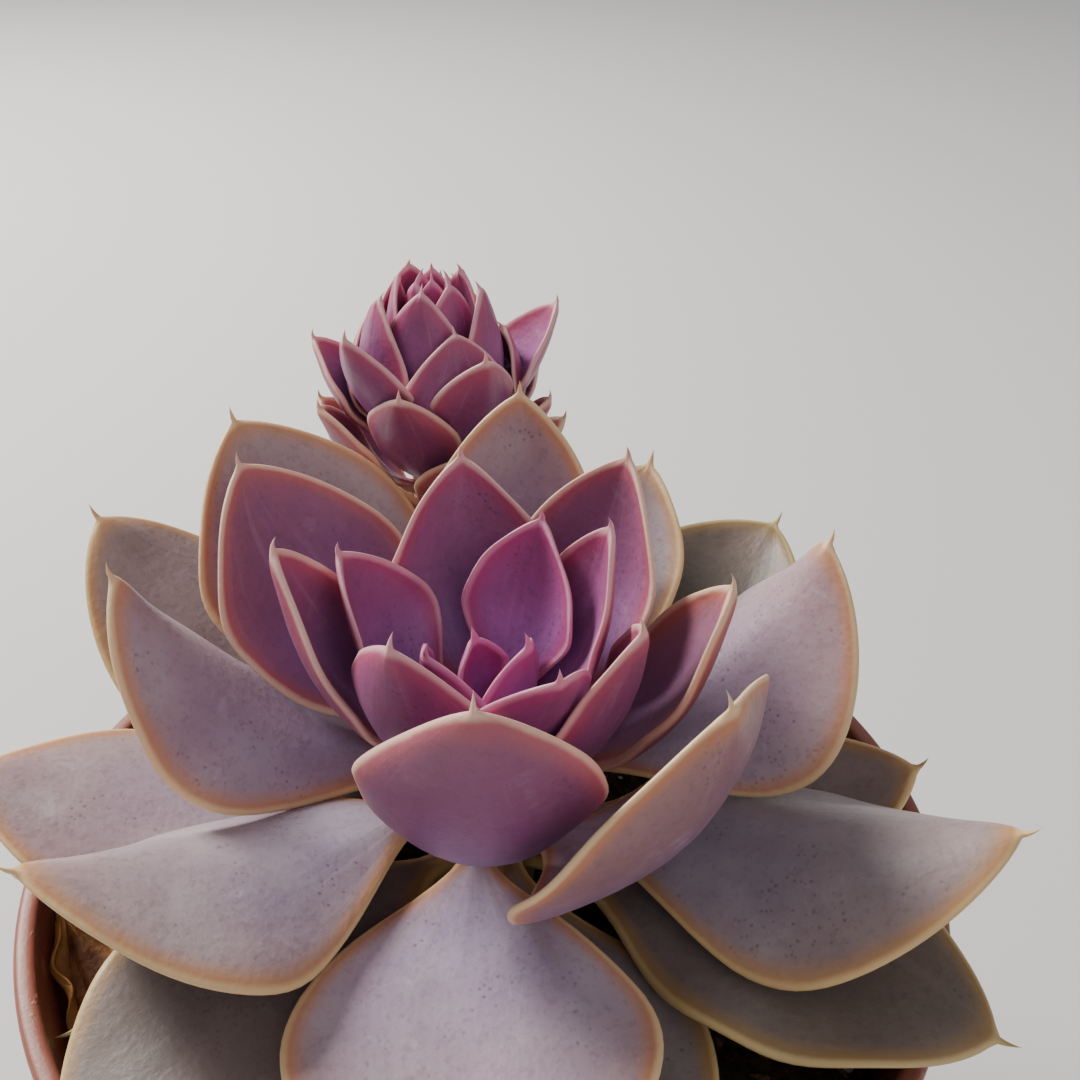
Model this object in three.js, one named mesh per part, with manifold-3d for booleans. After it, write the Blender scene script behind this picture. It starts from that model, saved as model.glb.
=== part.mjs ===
// A two-headed purple rosette succulent in a round plastic nursery pot.
// Millimetres, +Z up. The origin is the middle of the pot's flat underside.
// The front of the plant, where the big low leaves hang, faces -Y.
import * as THREE from 'three';
import { mergeVertices } from 'three/addons/utils/BufferGeometryUtils.js';
import Module from 'manifold-3d';

const wasm = await Module();
wasm.setup();

// ---------------------------------------------------------------- driving dimensions

const GAP = 0.3; // clearance between pieces that touch

// pot
const POT_HEIGHT = 92;
const POT_RIM_RADIUS = 60;
const POT_FOOT_RADIUS = 42;
const POT_WALL = 1.3;
const POT_FLOOR = 1.6;
const COLLAR_HEIGHT = 13; // thickened band below the rim
const COLLAR_STEP = 1.6; // how far the band stands out from the wall below it
const BEAD_RADIUS = 1.0; // rounded lip on top of the wall
const POT_SIDES = 48;
const DRAIN_HOLES = 6;
const DRAIN_HOLE_RADIUS = 4;
const DRAIN_CIRCLE_RADIUS = 30;

// soil
const SOIL_BELOW_RIM = 15;
const SOIL_CROWN = 3; // how much higher the soil stands around the stem

// main stem and its rosette
const STEM_RADIUS = 6.0;
const STEM_ROOT_DEPTH = 34; // how deep the stem reaches into the soil
const ROSETTE_X = 0;
const ROSETTE_Y = 4;
const ROSETTE_LEAN = 3; // degrees, towards the front
const LOWEST_LEAF_HEIGHT = 6; // above the soil, along the stem
const LEAF_ZONE = 28; // length of stem that carries leaves
const LEAF_COUNT = 39;
const FIRST_LEAF_TURN = 300; // degrees, where the oldest leaf points
const GOLDEN_TURN = 137.5; // degrees between one leaf and the next younger one
const YOUNG_LEAF = { length: 12, width: 10, thickness: 1.8 };
const OLD_LEAF = { length: 64, width: 40, thickness: 5.4 };
const LEAF_FOOT_WIDTH = 4.6; // where a leaf joins the stem
const LEAF_FOOT_THICKNESS = 2.0;
const FOOT_CUP = 18; // degrees, half angle of the trough near the stem

// dead leaf lying on the soil at the front left
const WITHERED_CLEARANCE = 0.49; // between it and the pot's wall
const WITHERED_BEARING = 215.54; // degrees
const WITHERED_HEIGHT = 3.6; // above the soil at the rim
const WITHERED_AIM = 118; // degrees

// second head
const HEAD_STEM_RADIUS = 4.0;
const HEAD_FOOT_X = -7; // where its stem leaves the soil
const HEAD_FOOT_FROM_RIM = 24;
const HEAD_X = -11; // where the head stands
const HEAD_FROM_RIM = 3;
const HEAD_LEAF_COUNT = 15;
const HEAD_LEAF_ZONE = 20; // length of its stem that carries the open leaves
const HEAD_ZONE_START = 28; // above the soil
const HEAD_FIRST_TURN = 237.5;
const CROWN_RADIUS = 13.5; // the closed cluster of young leaves on top
const CROWN_HEIGHT = 22;

// ---------------------------------------------------------------- small helpers

const radians = THREE.MathUtils.degToRad;
const mix = THREE.MathUtils.lerp;

const headFootY = POT_RIM_RADIUS - HEAD_FOOT_FROM_RIM;
const headY = POT_RIM_RADIUS - HEAD_FROM_RIM;

function material(colour, roughness, metalness = 0) {
  return new THREE.MeshStandardMaterial({ color: colour, roughness, metalness });
}

function closedGeometry(points, triangles) {
  const geometry = new THREE.BufferGeometry();
  geometry.setAttribute('position', new THREE.Float32BufferAttribute(points.flat(), 3));
  geometry.setIndex(triangles.flat());
  return geometry;
}

function toSolid(geometry) {
  const bare = geometry.clone();
  bare.deleteAttribute('normal');
  bare.deleteAttribute('uv');
  const merged = mergeVertices(bare, 1e-4);
  return new wasm.Manifold(new wasm.Mesh({
    numProp: 3,
    vertProperties: new Float32Array(merged.attributes.position.array),
    triVerts: new Uint32Array(merged.index.array),
  }));
}

function fromSolid(solid) {
  const mesh = solid.getMesh();
  const geometry = new THREE.BufferGeometry();
  const stride = mesh.numProp;
  const positions = [];
  for (let i = 0; i < mesh.vertProperties.length; i += stride) {
    positions.push(...mesh.vertProperties.slice(i, i + 3));
  }
  geometry.setAttribute('position', new THREE.Float32BufferAttribute(positions, 3));
  geometry.setIndex([...mesh.triVerts]);
  return geometry;
}

// A copy of a shape carried to where it stands in the pot.
function seated(geometry, seat) {
  return geometry.clone().applyMatrix4(seat);
}

// A lathe turned so that its axis is +Z.
function uprightLathe(profile, sides) {
  const geometry = new THREE.LatheGeometry(profile, sides);
  geometry.rotateX(Math.PI / 2);
  return geometry;
}

// Lofts closed rings of equal length into one closed body, with a point at each end.
function loft(startPoint, rings, endPoint) {
  const around = rings[0].length;
  const points = [startPoint, ...rings.flat(), endPoint];
  const last = points.length - 1;
  const at = (ring, k) => 1 + ring * around + (k % around);
  const triangles = [];
  for (let k = 0; k < around; k += 1) {
    triangles.push([0, at(0, k + 1), at(0, k)]);
    triangles.push([last, at(rings.length - 1, k), at(rings.length - 1, k + 1)]);
    for (let ring = 0; ring < rings.length - 1; ring += 1) {
      triangles.push([at(ring, k), at(ring, k + 1), at(ring + 1, k)]);
      triangles.push([at(ring, k + 1), at(ring + 1, k + 1), at(ring + 1, k)]);
    }
  }
  return closedGeometry(points, triangles);
}

// ---------------------------------------------------------------- leaf

const LEAF_SECTION_POINTS = 12;
const LEAF_STATIONS = [0, 0.125, 0.275, 0.45, 0.625, 0.775, 0.9, 0.975];

// Half-width of the blade as a share of its widest half: narrow at the stem, widest
// at two thirds of the length, then rounding in to a blunt point.
function bladeShape(along, widestAt, waist) {
  if (along < widestAt) {
    return Math.sin(along / widestAt * Math.PI / 2) ** waist;
  }
  const fall = (along - widestAt) / (1 - widestAt);
  return (1 - fall ** 2.1) ** 0.72;
}

// One leaf with its foot at the origin, growing out along +X, upper face towards +Z.
// It leaves the stem at the angle rise above level and ends at the angle top; bend says
// how soon it turns from one to the other (below 1, near the stem). cup is the half
// angle of its trough, fold the sharpness of its keel, twist how far it rolls about its
// midrib, and sway a sideways bend as a share of the length.
const MIDRIB_STEPS = 40;

function midribOf({ length, rise, top, bend, sway }) {
  const angleAt = (along) => radians(mix(rise, top, along ** bend));
  const step = length / MIDRIB_STEPS;
  const places = [{ x: 0, y: 0, z: 0, angle: angleAt(0) }];
  for (let k = 1; k <= MIDRIB_STEPS; k += 1) {
    const along = k / MIDRIB_STEPS;
    const middle = angleAt(along - 0.5 / MIDRIB_STEPS);
    const before = places[k - 1];
    places.push({
      x: before.x + step * Math.cos(middle),
      y: sway * length * along ** 2,
      z: before.z + step * Math.sin(middle),
      angle: angleAt(along),
    });
  }
  return (along) => places[Math.round(along * MIDRIB_STEPS)];
}

function leafGeometry(leaf, extra = 0) {
  const { width, thickness, cup, fold, twist, foot } = leaf;
  const midrib = midribOf(leaf);
  const ring = (along) => {
    const { x, y, z, angle } = midrib(along);
    const grown = bladeShape(along, leaf.widest, leaf.waist);
    const joint = Math.max(0, 1 - along / 0.3) ** 2;
    const half = Math.max(foot / 2 * (1 - 0.5 * along), width / 2 * grown) + extra;
    const opening = mix(FOOT_CUP, cup, Math.min(1, along / 0.5));
    const sense = Math.sign(opening) || 1;
    const bend = Math.max(0.02, radians(Math.abs(opening)));
    const radius = half / bend;
    const depth = mix(thickness * (1 - 0.62 * along ** 2), LEAF_FOOT_THICKNESS, joint) / 2;
    const roll = radians(twist) * along;
    const points = [];
    for (let k = 0; k < LEAF_SECTION_POINTS; k += 1) {
      const theta = 2 * Math.PI * k / LEAF_SECTION_POINTS;
      const across = Math.cos(theta);
      const side = Math.sin(theta);
      const skin = (depth + extra) * Math.sign(side) * Math.abs(side) ** 0.85;
      const reach = radius - sense * skin;
      const keel = fold * along * half * (Math.sqrt(across ** 2 + 0.02) - 0.14);
      const flat = reach * Math.sin(bend * across);
      const high = sense * (radius - reach * Math.cos(bend * across)) + keel;
      const out = flat * Math.cos(roll) - high * Math.sin(roll);
      const up = flat * Math.sin(roll) + high * Math.cos(roll);
      points.push([x - Math.sin(angle) * up, y + out, z + Math.cos(angle) * up]);
    }
    return points;
  };
  const stub = midrib(0);
  const tip = midrib(1);
  return loft([stub.x, stub.y, stub.z], LEAF_STATIONS.map(ring), [tip.x, tip.y, tip.z]);
}

// ---------------------------------------------------------------- rosettes

// Leaf number 0 is the oldest and lowest; the habit of a leaf follows its age, from
// 0 for the youngest to 1 for the oldest. These are the leaves that grew differently.
const ROSETTE_HABITS = {
  0: { aim: 288, length: 26, width: 20, top: 10, cup: 6 },
  1: { aim: 84, rise: 26, length: 34, width: 24, top: 0 },
  2: { aim: 208, rise: 15, length: 50, width: 24, top: -2, cup: 4 },
  3: { aim: 349, rise: 2, length: 28, width: 18, top: 6, cup: 6 },
  4: { aim: 138, length: 50, width: 30, top: 6 },
  5: { aim: 262, length: 48, width: 32, top: 0, cup: 6 },
  6: { aim: 46, length: 60, top: 34, cup: 20 },
  7: { aim: 168, rise: 8, length: 40, width: 26, top: 4, cup: 8 },
  8: { aim: 330, rise: 24, length: 62, width: 34, top: -4, cup: 4, rank: 13.5 },
  9: { length: 34, width: 24, top: 46 },
  10: { aim: 236, rise: 22, length: 58, width: 34, top: -8, cup: 6 },
  11: { aim: 4, rise: -4, length: 56, width: 30, top: 60, bend: 1.2, cup: 12 },
  12: { aim: 155, length: 64, width: 35, top: 46, cup: -12, fold: -0.15, rank: 22.8 },
  13: { aim: 300, rise: 2, length: 55, width: 32, top: -6, cup: 6 },
  14: { aim: 62, length: 52, width: 28, top: 50 },
  15: { aim: 184, rise: 6, length: 62, width: 32, top: 46, cup: -10, fold: 0, rank: 22.6 },
  16: { aim: 341, rise: 18, length: 62, width: 38, top: 32, cup: -30, fold: -0.3, twist: -20 },
  17: { aim: 135, length: 60, width: 38, top: 54, cup: 16 },
  18: { aim: 272, rise: 12, length: 54, width: 43, top: -6, cup: 14 },
  19: { aim: 16, length: 53, width: 38, top: 62, cup: -26, fold: -0.5, twist: -10 },
  20: { aim: 180, length: 54, width: 32, top: 66, cup: -30, fold: -0.3, twist: 18, rank: 24.6 },
  21: { aim: 319, rise: -14, length: 55, width: 46, top: 96, cup: 26 },
  22: { aim: 86, length: 53, width: 28, top: 76, cup: 26 },
  23: { aim: 214, rise: 16, length: 56, width: 36, top: 46, cup: -32, fold: -0.3, twist: 26 },
  24: { aim: 3, length: 43, width: 20, top: 84 },
  25: { aim: 147, length: 51, width: 34, top: 70, cup: 20, bend: 0.7 },
  26: { aim: 270, rise: -8, length: 54, width: 31, top: 96 },
  27: { aim: 48, length: 44, width: 27, top: 86 },
  28: { aim: 180, length: 42, width: 20, top: 88 },
  29: { aim: 334, length: 36, width: 22 },
  30: { aim: 101, length: 38, width: 25, top: 88 },
  31: { aim: 240, rise: 10, length: 38, width: 24 },
  32: { aim: 26, length: 34, width: 18 },
  33: { aim: 162, length: 31, width: 20 },
  34: { aim: 299, length: 30, width: 20 },
  35: { aim: 68, length: 28, width: 19 },
};

// Where leaves of growing age point at their tips, from the bud out to the lowest leaf.
const TOP_ANGLES = [96, 97, 96, 92, 84, 72, 58, 44, 30, 16, 4];

// Reads a list of evenly spaced values at a share from 0 to 1.
function valueAt(values, share) {
  const place = share * (values.length - 1);
  const low = Math.min(values.length - 2, Math.floor(place));
  return mix(values[low], values[low + 1], place - low);
}

function rosetteLeaf(number) {
  const age = 1 - number / (LEAF_COUNT - 1);
  const usual = {
    turn: FIRST_LEAF_TURN + GOLDEN_TURN * number,
    length: mix(YOUNG_LEAF.length, OLD_LEAF.length, age ** 0.7),
    width: mix(YOUNG_LEAF.width, OLD_LEAF.width, age ** 0.55),
    thickness: mix(YOUNG_LEAF.thickness, OLD_LEAF.thickness, age),
    rise: age < 0.35 ? mix(62, 0, age / 0.35) : mix(0, 26, (age - 0.35) / 0.65),
    top: valueAt(TOP_ANGLES, age),
    bend: mix(0.45, 0.9, age),
    cup: mix(50, 30, age),
    fold: 0.1,
    twist: 0,
    sway: 0,
    widest: 0.64,
    waist: mix(1.2, 1.9, Math.min(1, 2 * age)),
    foot: LEAF_FOOT_WIDTH,
    rank: number,
  };
  const leaf = { ...usual, ...ROSETTE_HABITS[number] };
  return { aim: leaf.turn, ...leaf };
}

function headLeaf(number) {
  const age = 1 - number / (HEAD_LEAF_COUNT - 1);
  const turn = HEAD_FIRST_TURN + GOLDEN_TURN * number;
  return {
    turn,
    aim: turn,
    rank: number,
    length: mix(24, 23, age),
    width: mix(17, 15, age),
    thickness: mix(2.2, 2.6, age),
    rise: mix(34, 26, age),
    top: mix(98, 80, age),
    bend: 0.6,
    cup: 42,
    fold: 0.1,
    twist: 0,
    sway: 0,
    widest: 0.6,
    waist: 1.1,
    foot: 3.6,
  };
}

// The leaf at its place on the stem: its foot stands at the bearing turn, at the given
// radius and height, and its blade heads along the bearing aim.
function placedLeaf(leaf, radius, height, extra = 0) {
  const geometry = leafGeometry(leaf, extra);
  const askew = Math.abs(Math.sin(radians(leaf.aim - leaf.turn)));
  const reach = radius + askew * leaf.foot / 2;
  geometry.rotateZ(radians(leaf.aim));
  const bearing = radians(leaf.turn);
  geometry.translate(reach * Math.cos(bearing), reach * Math.sin(bearing), height);
  return geometry;
}

// Leaves are set one after another, mostly from the youngest outwards. Where a leaf would
// press into one that is already there, it gives way outwards, and a little sideways, by
// the smallest amount that clears it. One that finds no room at all stays smaller.
const GIVING_WAY = [];
const SIDEWAYS_EFFORT = 1.2; // how much harder a leaf turns aside than outwards
for (let outwards = -8; outwards <= 40; outwards += 2) {
  for (const sideways of [0, 4, -4, 8, -8, 12, -12, 16, -16]) {
    const effort = Math.abs(outwards) + SIDEWAYS_EFFORT * Math.abs(sideways);
    GIVING_WAY.push({ outwards, sideways, effort });
  }
}
GIVING_WAY.sort((one, other) => one.effort - other.effort);
const STUNTED_SIZES = [1, 0.85, 0.7, 0.55, 0.4, 0.25];

function boxesMeet(one, other) {
  const [a, b] = [one.box, other.box];
  return [0, 1, 2].every((axis) => a.min[axis] <= b.max[axis] && b.min[axis] <= a.max[axis]);
}

function withBox(solid) {
  return { solid, box: solid.boundingBox() };
}

function clearShape(leaf, radius, height, seat, taken) {
  let shape = leaf;
  for (const size of STUNTED_SIZES) {
    for (const { outwards, sideways } of GIVING_WAY) {
      shape = {
        ...leaf,
        length: leaf.length * size,
        width: leaf.width * size,
        rise: leaf.rise - outwards,
        top: leaf.top - outwards,
        aim: leaf.aim + sideways,
      };
      const roomy = withBox(toSolid(seated(placedLeaf(shape, radius, height, GAP), seat)));
      const nearby = taken.filter((other) => boxesMeet(roomy, other));
      if (nearby.every((other) => roomy.solid.intersect(other.solid).isEmpty())) {
        return shape;
      }
    }
  }
  return shape;
}

function growLeaves(leaves, seat, neighbours) {
  const grown = [];
  const taken = neighbours.map(withBox);
  const inOrder = [...leaves].sort((one, other) => other.leaf.rank - one.leaf.rank);
  for (const { leaf, radius, height, name } of inOrder) {
    const shape = clearShape(leaf, radius, height, seat, taken);
    const geometry = seated(placedLeaf(shape, radius, height), seat);
    const solid = toSolid(geometry);
    taken.push(withBox(solid));
    grown.push({ name, geometry, solid });
  }
  return grown;
}

// ---------------------------------------------------------------- stems

const soilTop = POT_HEIGHT - SOIL_BELOW_RIM;
const crownFoot = HEAD_ZONE_START + HEAD_LEAF_ZONE - 1; // above the soil

// Radius of the main stem at a height above the soil: even along its trunk, then
// narrowing through the leaf zone to the growing point.
function stemRadius(height) {
  const share = (height - LOWEST_LEAF_HEIGHT) / LEAF_ZONE;
  return share <= 0 ? STEM_RADIUS : mix(STEM_RADIUS, 1.4, Math.min(1, share) ** 1.6);
}

function mainStem(extra = 0) {
  const top = LOWEST_LEAF_HEIGHT + LEAF_ZONE;
  const foot = -STEM_ROOT_DEPTH;
  const profile = [
    new THREE.Vector2(0, foot - extra),
    new THREE.Vector2(STEM_RADIUS * 0.7 + extra, foot - extra),
  ];
  for (let k = 0; k <= 8; k += 1) {
    const height = mix(foot + 4, top, k / 8);
    profile.push(new THREE.Vector2(stemRadius(height) + extra, height));
  }
  profile.push(new THREE.Vector2(0, top + 0.8 + extra));
  return uprightLathe(profile, 12);
}

// The second stem leaves the soil behind the first and leans back before it stands up.
const headPath = new THREE.CatmullRomCurve3([
  new THREE.Vector3(HEAD_FOOT_X, headFootY - 6, -24),
  new THREE.Vector3(HEAD_FOOT_X, headFootY, 0),
  new THREE.Vector3(mix(HEAD_FOOT_X, HEAD_X, 0.6), mix(headFootY, headY, 0.6), 16),
  new THREE.Vector3(HEAD_X, headY, HEAD_ZONE_START),
  new THREE.Vector3(HEAD_X, headY, crownFoot - GAP),
]);

function headStem(extra = 0) {
  const section = new THREE.Shape();
  section.absarc(0, 0, HEAD_STEM_RADIUS + extra, 0, 2 * Math.PI);
  return new THREE.ExtrudeGeometry(section, {
    steps: 16,
    curveSegments: 10,
    bevelEnabled: false,
    extrudePath: headPath,
  });
}

// The crown's young leaves still stand together, so they are one goblet-shaped body.
function headCrown() {
  const shape = [
    [0, 0],
    [0.24, 0.02],
    [0.5, 0.16],
    [0.84, 0.42],
    [1, 0.7],
    [0.78, 0.96],
    [0.5, 1],
    [0.2, 0.9],
    [0, 0.86],
  ];
  const profile = shape.map(([r, z]) => (
    new THREE.Vector2(r * CROWN_RADIUS, crownFoot + z * CROWN_HEIGHT)
  ));
  return uprightLathe(profile, 16);
}

// ---------------------------------------------------------------- pot and soil

function wallRadius(height) {
  return mix(POT_FOOT_RADIUS, POT_RIM_RADIUS - COLLAR_STEP, height / POT_HEIGHT);
}

// The wall's inner face, taken as straight through the band below the rim.
function innerRadius(height) {
  const bandFoot = POT_HEIGHT - COLLAR_HEIGHT;
  if (height < bandFoot) {
    return wallRadius(height) - POT_WALL;
  }
  const share = (height - bandFoot) / (COLLAR_HEIGHT - 2 * BEAD_RADIUS);
  return mix(wallRadius(bandFoot) - POT_WALL, POT_RIM_RADIUS - POT_WALL - 0.9, share);
}

function potShell() {
  const collarFoot = POT_HEIGHT - COLLAR_HEIGHT;
  const outer = [
    [0, 0],
    [POT_FOOT_RADIUS - 1.5, 0],
    [POT_FOOT_RADIUS, 1.5],
    [wallRadius(collarFoot - 1), collarFoot - 1],
    [POT_RIM_RADIUS - 0.6, collarFoot + 0.5],
    [POT_RIM_RADIUS - BEAD_RADIUS * 0.4, POT_HEIGHT - 2 * BEAD_RADIUS],
    [POT_RIM_RADIUS, POT_HEIGHT - BEAD_RADIUS],
    [POT_RIM_RADIUS - BEAD_RADIUS * 0.3, POT_HEIGHT - BEAD_RADIUS * 0.3],
    [POT_RIM_RADIUS - BEAD_RADIUS, POT_HEIGHT],
    [POT_RIM_RADIUS - BEAD_RADIUS * 1.8, POT_HEIGHT - BEAD_RADIUS * 0.4],
    [POT_RIM_RADIUS - POT_WALL - 0.9, POT_HEIGHT - 2 * BEAD_RADIUS],
    [wallRadius(collarFoot) - POT_WALL + 0.6, collarFoot + 1],
    [wallRadius(collarFoot - 2) - POT_WALL, collarFoot - 2],
    [wallRadius(POT_FLOOR) - POT_WALL, POT_FLOOR],
    [0, POT_FLOOR],
  ];
  const profile = outer.map(([r, z]) => new THREE.Vector2(r, z));
  let shell = toSolid(uprightLathe(profile, POT_SIDES));
  for (let k = 0; k < DRAIN_HOLES; k += 1) {
    const angle = 2 * Math.PI * (k + 0.5) / DRAIN_HOLES;
    const x = DRAIN_CIRCLE_RADIUS * Math.cos(angle);
    const y = DRAIN_CIRCLE_RADIUS * Math.sin(angle);
    const deep = 4 * POT_FLOOR;
    const hole = new THREE.CylinderGeometry(DRAIN_HOLE_RADIUS, DRAIN_HOLE_RADIUS, deep, 12);
    hole.rotateX(Math.PI / 2);
    hole.translate(x, y, 0);
    shell = shell.subtract(toSolid(hole));
  }
  return shell;
}

function soilBody(stemPockets) {
  const inside = (height) => wallRadius(height) - POT_WALL - GAP;
  const bottom = POT_FLOOR + GAP;
  const profile = [
    [0, bottom],
    [inside(bottom), bottom],
    [inside(soilTop - 4), soilTop - 4],
    [inside(soilTop - 4) - 0.4, soilTop - 0.6],
    [POT_RIM_RADIUS * 0.6, soilTop + 0.4],
    [POT_RIM_RADIUS * 0.3, soilTop + SOIL_CROWN * 0.7],
    [0, soilTop + SOIL_CROWN],
  ].map(([r, z]) => new THREE.Vector2(r, z));
  let soil = toSolid(uprightLathe(profile, POT_SIDES));
  for (const pocket of stemPockets) {
    soil = soil.subtract(pocket);
  }
  return soil;
}

// ---------------------------------------------------------------- the plant in its pot

const plant = new THREE.Group();

function addPiece(name, geometry, finish) {
  const mesh = new THREE.Mesh(geometry, finish);
  mesh.name = name;
  plant.add(mesh);
}

const soilSeat = new THREE.Matrix4().makeTranslation(0, 0, soilTop);

// The rosette and its stem lean together about the point where the stem meets the soil.
const rosetteSeat = new THREE.Matrix4()
  .makeTranslation(ROSETTE_X, ROSETTE_Y, soilTop)
  .multiply(new THREE.Matrix4().makeRotationX(radians(ROSETTE_LEAN)));
const headSeat = new THREE.Matrix4().makeTranslation(HEAD_X, headY, soilTop);

const twoDigits = (number) => String(number).padStart(2, '0');

const potSolid = potShell();
const soilSolid = soilBody([
  toSolid(seated(mainStem(GAP), rosetteSeat)),
  toSolid(seated(headStem(GAP), soilSeat)),
]);
const stemGeometry = seated(mainStem(), rosetteSeat);
const headStemGeometry = seated(headStem(), soilSeat);
const crownGeometry = seated(headCrown(), headSeat);

function rosetteLeaves(neighbours) {
  const leaves = [];
  for (let number = 0; number < LEAF_COUNT; number += 1) {
    const height = LOWEST_LEAF_HEIGHT + LEAF_ZONE * (number + 0.5) / LEAF_COUNT;
    leaves.push({
      name: `rosette_leaf_${twoDigits(number + 1)}`,
      leaf: rosetteLeaf(number),
      radius: stemRadius(height) + GAP,
      height,
    });
  }
  return growLeaves(leaves, rosetteSeat, neighbours);
}

function headLeaves(neighbours) {
  const leaves = [];
  for (let number = 0; number < HEAD_LEAF_COUNT; number += 1) {
    leaves.push({
      name: `head_leaf_${twoDigits(number + 1)}`,
      leaf: headLeaf(number),
      radius: HEAD_STEM_RADIUS + GAP,
      height: HEAD_ZONE_START + HEAD_LEAF_ZONE * (number + 0.5) / HEAD_LEAF_COUNT,
    });
  }
  return growLeaves(leaves, headSeat, neighbours);
}

const witheredGeometry = witheredLeaf();
const stems = [toSolid(stemGeometry), toSolid(headStemGeometry)];
const headGrowth = headLeaves([...stems, toSolid(crownGeometry)]);
const rosetteGrowth = rosetteLeaves([
  ...stems,
  potSolid,
  soilSolid,
  toSolid(witheredGeometry),
  ...headGrowth.map(({ solid }) => solid),
]);

// A dead leaf that has shrivelled and dropped to the edge of the soil.
function witheredLeaf() {
  const geometry = leafGeometry({
    length: 24,
    width: 11,
    thickness: 2.2,
    rise: 4,
    top: 34,
    bend: 1.4,
    cup: 70,
    fold: 0.1,
    twist: 24,
    sway: 0.1,
    widest: 0.6,
    waist: 1.2,
    foot: 4,
  });
  geometry.rotateZ(radians(WITHERED_AIM));
  geometry.translate(0, 0, soilTop + WITHERED_HEIGHT);
  const bearing = radians(WITHERED_BEARING);
  const out = new THREE.Vector2(Math.cos(bearing), Math.sin(bearing));
  const reach = reachInsideWall(geometry, out, WITHERED_CLEARANCE);
  geometry.translate(reach * out.x, reach * out.y, 0);
  return geometry;
}

// How far a shape on the pot's axis slides outwards until one of its points is only
// the clearance short of the pot's wall.
function reachInsideWall(geometry, out, clearance) {
  const place = geometry.getAttribute('position');
  let reach = Infinity;
  for (let i = 0; i < place.count; i += 1) {
    const point = new THREE.Vector2(place.getX(i), place.getY(i));
    const flat = Math.cos(Math.PI / POT_SIDES);
    const inner = innerRadius(place.getZ(i)) * flat - clearance;
    const ahead = point.dot(out);
    reach = Math.min(reach, Math.sqrt(inner ** 2 - point.lengthSq() + ahead ** 2) - ahead);
  }
  return reach;
}

addPiece('pot', fromSolid(potSolid), material(0x8a4a3e, 0.6));
addPiece('soil', fromSolid(soilSolid), material(0x3a2f29, 0.95));
addPiece('main_stem', stemGeometry, material(0x7d6a58, 0.8));
addPiece('head_stem', headStemGeometry, material(0xa04a78, 0.5));
addPiece('head_crown', crownGeometry, material(0xa0447c, 0.5));
addPiece('withered_leaf', witheredGeometry, material(0x6b4a36, 0.7));
for (const { name, geometry } of rosetteGrowth) {
  addPiece(name, geometry, material(0x9a7083, 0.55));
}
for (const { name, geometry } of headGrowth) {
  addPiece(name, geometry, material(0x8d4a78, 0.5));
}

export default plant;
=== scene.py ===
# %% [markdown]
# # A two-headed purple rosette succulent in a nursery pot
#
# Every fleshy leaf, both stems, the soil and the pot come from a imported CAD model that
# fixes where each one is. This lesson gives each of them its finished surface. The first
# cell loads that model as a fixed frame.

import math

import bmesh
import bpy
import numpy as np
from mathutils import Matrix, Vector


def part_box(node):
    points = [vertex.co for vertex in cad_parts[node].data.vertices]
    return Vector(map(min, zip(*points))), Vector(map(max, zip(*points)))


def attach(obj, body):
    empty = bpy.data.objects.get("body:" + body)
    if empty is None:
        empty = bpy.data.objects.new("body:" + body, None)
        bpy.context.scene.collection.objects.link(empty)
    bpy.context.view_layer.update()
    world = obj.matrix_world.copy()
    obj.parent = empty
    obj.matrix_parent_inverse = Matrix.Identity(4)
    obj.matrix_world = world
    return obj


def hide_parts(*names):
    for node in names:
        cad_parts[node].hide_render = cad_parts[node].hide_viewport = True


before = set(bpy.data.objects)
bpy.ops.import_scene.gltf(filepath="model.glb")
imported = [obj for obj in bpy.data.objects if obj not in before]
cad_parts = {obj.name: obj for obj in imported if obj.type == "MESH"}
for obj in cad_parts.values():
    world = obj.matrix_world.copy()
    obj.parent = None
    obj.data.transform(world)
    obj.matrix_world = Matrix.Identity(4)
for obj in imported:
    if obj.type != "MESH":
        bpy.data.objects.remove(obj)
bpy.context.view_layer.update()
MM = 0.001
GOLDEN_ANGLE = 137.5  # degrees from one leaf of a spiral to the next
leaf_nodes = sorted(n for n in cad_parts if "_leaf_" in n)
print(len(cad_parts), "nodes,", len(leaf_nodes), "leaves")

# %% [markdown]
# ## Light, floor and camera
#
# The plant stands in soft daylight from the upper left, a little behind it, so the leaf
# edges glow and the faces turned to us are gently shaded. A wide lamp gives that key
# light, a weak one fills the front, and a pale grey world lights the rest. The camera
# looks down into the rosette, a little more than a third of a right angle below level.

# %% Camera
CAMERA_PLACE = (6 * MM, -106 * MM, 213 * MM)
CAMERA_PITCH = 34.5  # degrees below level
CAMERA_ROLL = 1.2  # degrees
FIELD_OF_VIEW = 50.0  # degrees
SENSOR = 36.0
NEAREST_SEEN = 5 * MM

scene = bpy.context.scene
camera_data = bpy.data.cameras.new("camera")
camera_data.sensor_width = SENSOR
camera_data.lens = SENSOR / 2 / math.tan(math.radians(FIELD_OF_VIEW / 2))
camera_data.clip_start = NEAREST_SEEN
camera = bpy.data.objects.new("camera", camera_data)
scene.collection.objects.link(camera)
camera.location = CAMERA_PLACE
camera.rotation_mode = "XYZ"
pitch_turn = math.radians(90 - CAMERA_PITCH)
camera.rotation_euler = (
    Matrix.Rotation(pitch_turn, 3, "X") @ Matrix.Rotation(math.radians(CAMERA_ROLL), 3, "Z")
).to_euler()
scene.camera = camera


# %% Lamps and world
ROSETTE_MIDDLE = Vector((0.0, 0.0, 0.11))


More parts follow.
